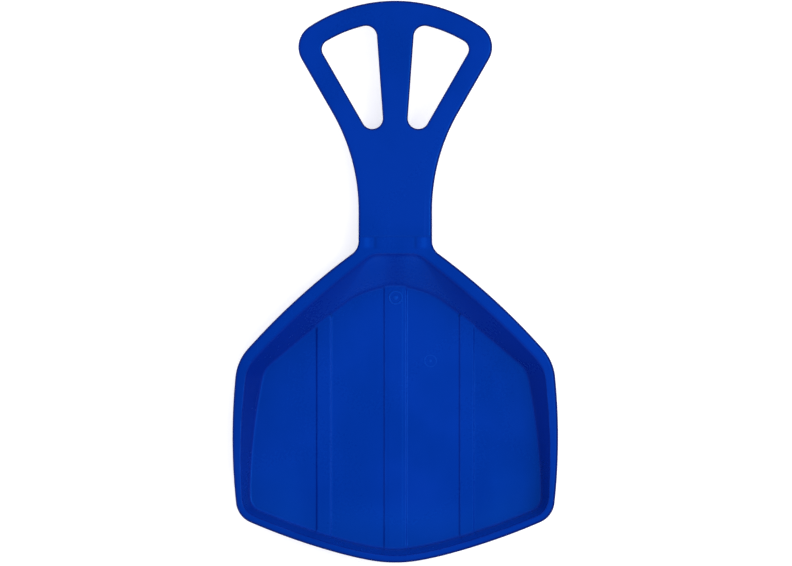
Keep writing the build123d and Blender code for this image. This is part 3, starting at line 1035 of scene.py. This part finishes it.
def polyethylene(name, base=(0.0, 0.0160, 0.236), seed=0.0):
    m, nt, bsdf = new_material(name)
    N, L = nt.nodes.new, nt.links.new
    tc = N("ShaderNodeTexCoord")

    def noise(scale, detail=2.0, rough=0.5, stretch=None, off=0.0):
        n = N("ShaderNodeTexNoise")
        n.inputs["Scale"].default_value = scale
        n.inputs["Detail"].default_value = detail
        n.inputs["Roughness"].default_value = rough
        mp = N("ShaderNodeMapping")
        mp.inputs["Location"].default_value = (seed + off, seed * 0.7 + off, off)
        if stretch:
            mp.inputs["Scale"].default_value = stretch
        L(tc.outputs["Object"], mp.inputs["Vector"])
        L(mp.outputs["Vector"], n.inputs["Vector"])
        return n.outputs["Fac"]

    def math_(op, a, b=None, clamp=False):
        n = N("ShaderNodeMath")
        n.operation = op
        n.use_clamp = clamp
        for i, v in enumerate((a, b)):
            if v is None:
                continue
            if hasattr(v, "links"):
                L(v, n.inputs[i])
            else:
                n.inputs[i].default_value = v
        return n.outputs[0]

    def ramp(fac, a, b, lo=0.0, hi=1.0):
        n = N("ShaderNodeMapRange")
        n.interpolation_type = "SMOOTHSTEP"
        n.inputs["From Min"].default_value = a
        n.inputs["From Max"].default_value = b
        n.inputs["To Min"].default_value = lo
        n.inputs["To Max"].default_value = hi
        L(fac, n.inputs["Value"])
        return n.outputs["Result"]

    def mix(fac, a, b):
        n = N("ShaderNodeMix")
        n.data_type = "RGBA"
        if hasattr(fac, "links"):
            L(fac, n.inputs[0])
        else:
            n.inputs[0].default_value = fac
        for i, v in ((6, a), (7, b)):
            if hasattr(v, "links"):
                L(v, n.inputs[i])
            else:
                n.inputs[i].default_value = (*v, 1.0)
        return n.outputs[2]

    # slow clouding of the pigment, and faint streaks along the flow of the plastic
    cloud = ramp(noise(9.0, 3.0, 0.55), 0.36, 0.64)
    streak = ramp(noise(34.0, 3.0, 0.6, stretch=(1.0, 0.16, 1.0), off=3.1), 0.40, 0.66)
    deep = tuple(c * 0.90 for c in base)
    light = (base[0] + 0.0006, base[1] * 1.12, base[2] * 1.06)
    col = mix(cloud, deep, light)
    col = mix(math_("MULTIPLY", streak, 0.20), col, (base[0] + 0.0004, base[1] * 1.25, base[2] * 1.12))
    # painted light and shade from the tone attribute: turned-down edges and shaded places deeper, lit places paler
    tn = N("ShaderNodeAttribute")
    tn.attribute_name = "tone"
    col = mix(ramp(tn.outputs["Fac"], 0.0, -1.0, 0.0, 0.90), col, (0.0, base[1] * 0.35, base[2] * 0.40))
    col = mix(ramp(tn.outputs["Fac"], 0.0, 1.0, 0.0, 0.70), col, (base[0] + 0.0010, base[1] * 2.3, base[2] * 1.45))
    # rubbed edges, partly wear and partly painted highlight: paler where the surface falls away
    at = N("ShaderNodeAttribute")
    at.attribute_name = "edge"
    convex = ramp(at.outputs["Fac"], 0.36, 0.85)
    worn_and_highlight = math_("MULTIPLY", convex, ramp(noise(55.0, 4.0, 0.65, off=7.7), 0.42, 0.62), clamp=True)
    col = mix(math_("MULTIPLY", worn_and_highlight, 0.38), col, (0.003, base[1] * 2.3, base[2] * 1.40))
    # painted highlight: the hollows are coloured a slightly paler blue
    hollow = ramp(at.outputs["Fac"], -0.10, -0.45)
    col = mix(math_("MULTIPLY", hollow, 0.16), col, (0.0008, base[1] * 1.9, base[2] * 1.25))
    # fine scuffs lengthwise
    scuff = noise(190.0, 2.0, 0.5, stretch=(1.0, 0.035, 1.0), off=11.0)
    scuff_m = math_("MULTIPLY", ramp(scuff, 0.66, 0.74), ramp(noise(14.0, 2.0, 0.5, off=5.0), 0.50, 0.70), clamp=True)
    col = mix(math_("MULTIPLY", scuff_m, 0.16), col, (0.004, base[1] * 1.6, base[2] * 1.25))
    L(col, bsdf.inputs["Base Color"])

    rough = math_("ADD", ramp(noise(11.0, 0.0, 0.5, off=2.2), 0.2, 0.8, 0.25, 0.31), ramp(noise(320.0, 1.0, 0.5, off=4.0), 0.2, 0.8, -0.010, 0.010))
    rough = math_("ADD", rough, ramp(tn.outputs["Fac"], -0.22, -0.65, 0.0, 0.42))
    rough = math_("ADD", rough, math_("MULTIPLY", scuff_m, 0.10))
    rough = math_("ADD", rough, math_("MULTIPLY", worn_and_highlight, 0.06))
    L(rough, bsdf.inputs["Roughness"])

    fine = noise(1500.0, 2.0, 0.5, off=1.0)
    wave = noise(26.0, 1.5, 0.4, off=9.0)
    b1 = N("ShaderNodeBump")
    b1.inputs["Strength"].default_value = 0.10
    b1.inputs["Distance"].default_value = 0.00012
    L(fine, b1.inputs["Height"])
    b2 = N("ShaderNodeBump")
    b2.inputs["Strength"].default_value = 0.35
    b2.inputs["Distance"].default_value = 0.0011
    L(wave, b2.inputs["Height"])
    L(b1.outputs["Normal"], b2.inputs["Normal"])
    b3 = N("ShaderNodeBump")
    b3.inputs["Strength"].default_value = 0.25
    b3.inputs["Distance"].default_value = 0.00012
    b3.invert = True
    L(scuff_m, b3.inputs["Height"])
    L(b2.outputs["Normal"], b3.inputs["Normal"])
    L(b3.outputs["Normal"], bsdf.inputs["Normal"])

    bsdf.inputs["IOR"].default_value = 1.5
    L(ramp(tn.outputs["Fac"], -0.30, -0.75, 0.50, 0.12), bsdf.inputs["Specular IOR Level"])
    bsdf.inputs["Specular Tint"].default_value = (0.01, 0.23, 1.0, 1.0)
    bsdf.inputs["Subsurface Weight"].default_value = 0.0
    return m


blue = polyethylene("blue_polyethylene")

# ================================================================= pieces
for sheet, body in ((pan, "pan"), (grip, "handle"), (web, None)):
    for region, data in build_pieces(sheet).items():
        ob = make_object("moulded_" + region, data, blue)
        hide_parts(region)
        if body:
            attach(ob, body)
        else:
            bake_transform(ob)


# ---------------------------------------------------------------- two plain ring marks of the mould, low relief
def lathe(name, centre, profile, body, seg=72):
    """Closed profile of (radius, height) in mm turned about the vertical through centre; a first or last radius of 0 closes on the axis."""
    co, polys = [], []
    rings = []
    for r, h in profile:
        if r < 1e-6:
            rings.append([len(co)])
            co.append((centre[0], centre[1], centre[2] + h))
        else:
            rings.append(list(range(len(co), len(co) + seg)))
            co += [(centre[0] + r * math.cos(2 * math.pi * k / seg), centre[1] + r * math.sin(2 * math.pi * k / seg), centre[2] + h) for k in range(seg)]
    closed = len(rings[0]) > 1 and len(rings[-1]) > 1
    pairs = list(zip(rings[:-1], rings[1:])) + ([(rings[-1], rings[0])] if closed else [])
    for a, b in pairs:
        for k in range(seg):
            k2 = (k + 1) % seg
            if len(a) == 1:
                polys.append([a[0], b[k], b[k2]])
            elif len(b) == 1:
                polys.append([a[k2], a[k], b[0]])
            else:
                polys.append([a[k], b[k], b[k2], a[k2]])
    me = bpy.data.meshes.new(name)
    me.from_pydata([tuple(c * 0.001 for c in v) for v in co], [], [list(reversed(f)) for f in polys])
    me.validate()
    me.polygons.foreach_set("use_smooth", [True] * len(me.polygons))
    me.update()
    # painted highlight: the marks get a pale tone and a full edge value all over, so they are coloured paler than the
    # floor
    at = me.attributes.new("edge", "FLOAT", "POINT")
    at.data.foreach_set("value", np.full(len(me.vertices), 0.75, np.float32))
    at = me.attributes.new("tone", "FLOAT", "POINT")
    at.data.foreach_set("value", np.full(len(me.vertices), 0.85, np.float32))
    ob = bpy.data.objects.new(name, me)
    bpy.context.scene.collection.objects.link(ob)
    me.materials.append(blue)
    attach(ob, body)
    return ob


def ring_profile(r_in, r_out, h, base=-0.3):
    m, w = 0.5 * (r_in + r_out), 0.5 * (r_out - r_in)
    pts = [(r_out, base)] + [(m + w * math.cos(a), h * math.sin(a) ** 0.8 if math.sin(a) > 0 else 0.0) for a in np.linspace(0.0, math.pi, 11)] + [(r_in, base)]
    return pts


mid_z = FLOOR_Z + float(rib_top(0.0))
lathe("mark_ring_middle", (0.4, -15.8, mid_z), ring_profile(5.4, 7.2, 0.6), "pan")
lathe("mark_dot_middle", (0.4, -15.8, mid_z), [(0.0, -0.3), (2.6, -0.3), (2.6, 0.0), (2.4, 0.3), (1.7, 0.52), (0.8, 0.6), (0.0, 0.62)], "pan")
lathe("mark_ring_floor", (35.2, -79.3, FLOOR_Z), ring_profile(5.3, 6.3, 0.30), "pan")
lathe("mark_dot_floor", (35.2, -79.3, FLOOR_Z), [(0.0, -0.3), (1.4, -0.3), (1.4, 0.0), (1.2, 0.16), (0.7, 0.27), (0.0, 0.30)], "pan")

# ================================================================= stage, light, camera
st = bpy.data.meshes.new("stage_floor")
S = 30.0
st.from_pydata([(-S, -S, 0), (S, -S, 0), (S, S, 0), (-S, S, 0)], [], [(0, 1, 2, 3)])
stage = bpy.data.objects.new("stage_floor", st)
bpy.context.scene.collection.objects.link(stage)
sm, snt, sb = new_material("stage_pale")
sb.inputs["Base Color"].default_value = (0.72, 0.72, 0.72, 1)
sb.inputs["Emission Color"].default_value = (1, 1, 1, 1)
sb.inputs["Emission Strength"].default_value = 0.50
sb.inputs["Roughness"].default_value = 0.9
sb.inputs["Specular IOR Level"].default_value = 0.1
st.materials.append(sm)

scene = bpy.context.scene
world = bpy.data.worlds.new("studio")
scene.world = world
world.use_nodes = True
bg = world.node_tree.nodes["Background"]
bg.inputs["Color"].default_value = (1.0, 1.0, 1.0, 1)
bg.inputs["Strength"].default_value = 0.80


def area(name, loc, size, energy, target=(0, 0, 0)):
    d = bpy.data.lights.new(name, "AREA")
    d.shape = "RECTANGLE"
    d.size, d.size_y = size
    d.energy = energy
    o = bpy.data.objects.new(name, d)
    o.location = loc
    o.rotation_euler = (Vector(target) - Vector(loc)).to_track_quat("-Z", "Y").to_euler()
    scene.collection.objects.link(o)
    return o


area("key_right", (1.15, 0.10, 2.20), (0.85, 0.85), 17.0, (0.02, -0.03, 0))
area("low_right", (1.80, 0.05, 1.30), (0.5, 0.7), 7.5, (0.02, -0.05, 0))
area("side_left", (-1.30, 0.0, 1.05), (0.4, 0.8), 1.5, (0.0, -0.03, 0))
area("end_front", (0.0, 1.55, 1.35), (1.2, 0.8), 4.0, (0.0, -0.03, 0))
area("end_rear", (0.0, -1.55, 1.45), (1.2, 0.8), 6.0, (0.0, -0.03, 0))
sky = bpy.data.lights.new("overhead", "SUN")
sky.energy = 0.30
sky.angle = math.radians(40)
sky_ob = bpy.data.objects.new("overhead", sky)
sky_ob.rotation_euler = (0, 0, 0)
scene.collection.objects.link(sky_ob)

cam_data = bpy.data.cameras.new("camera")
cam = bpy.data.objects.new("camera", cam_data)
scene.collection.objects.link(cam)
DIST = 12.0
cam.location = (0.0007, -0.0013, DIST)
cam.rotation_euler = (0, 0, 0)
cam_data.sensor_width = 36.0
cam_data.lens = 36.0 * (DIST - RIM_Z / 1000) / 0.7905
cam_data.clip_end = 50
scene.camera = cam
scene.view_settings.view_transform = "Standard"
scene.view_settings.look = "None"
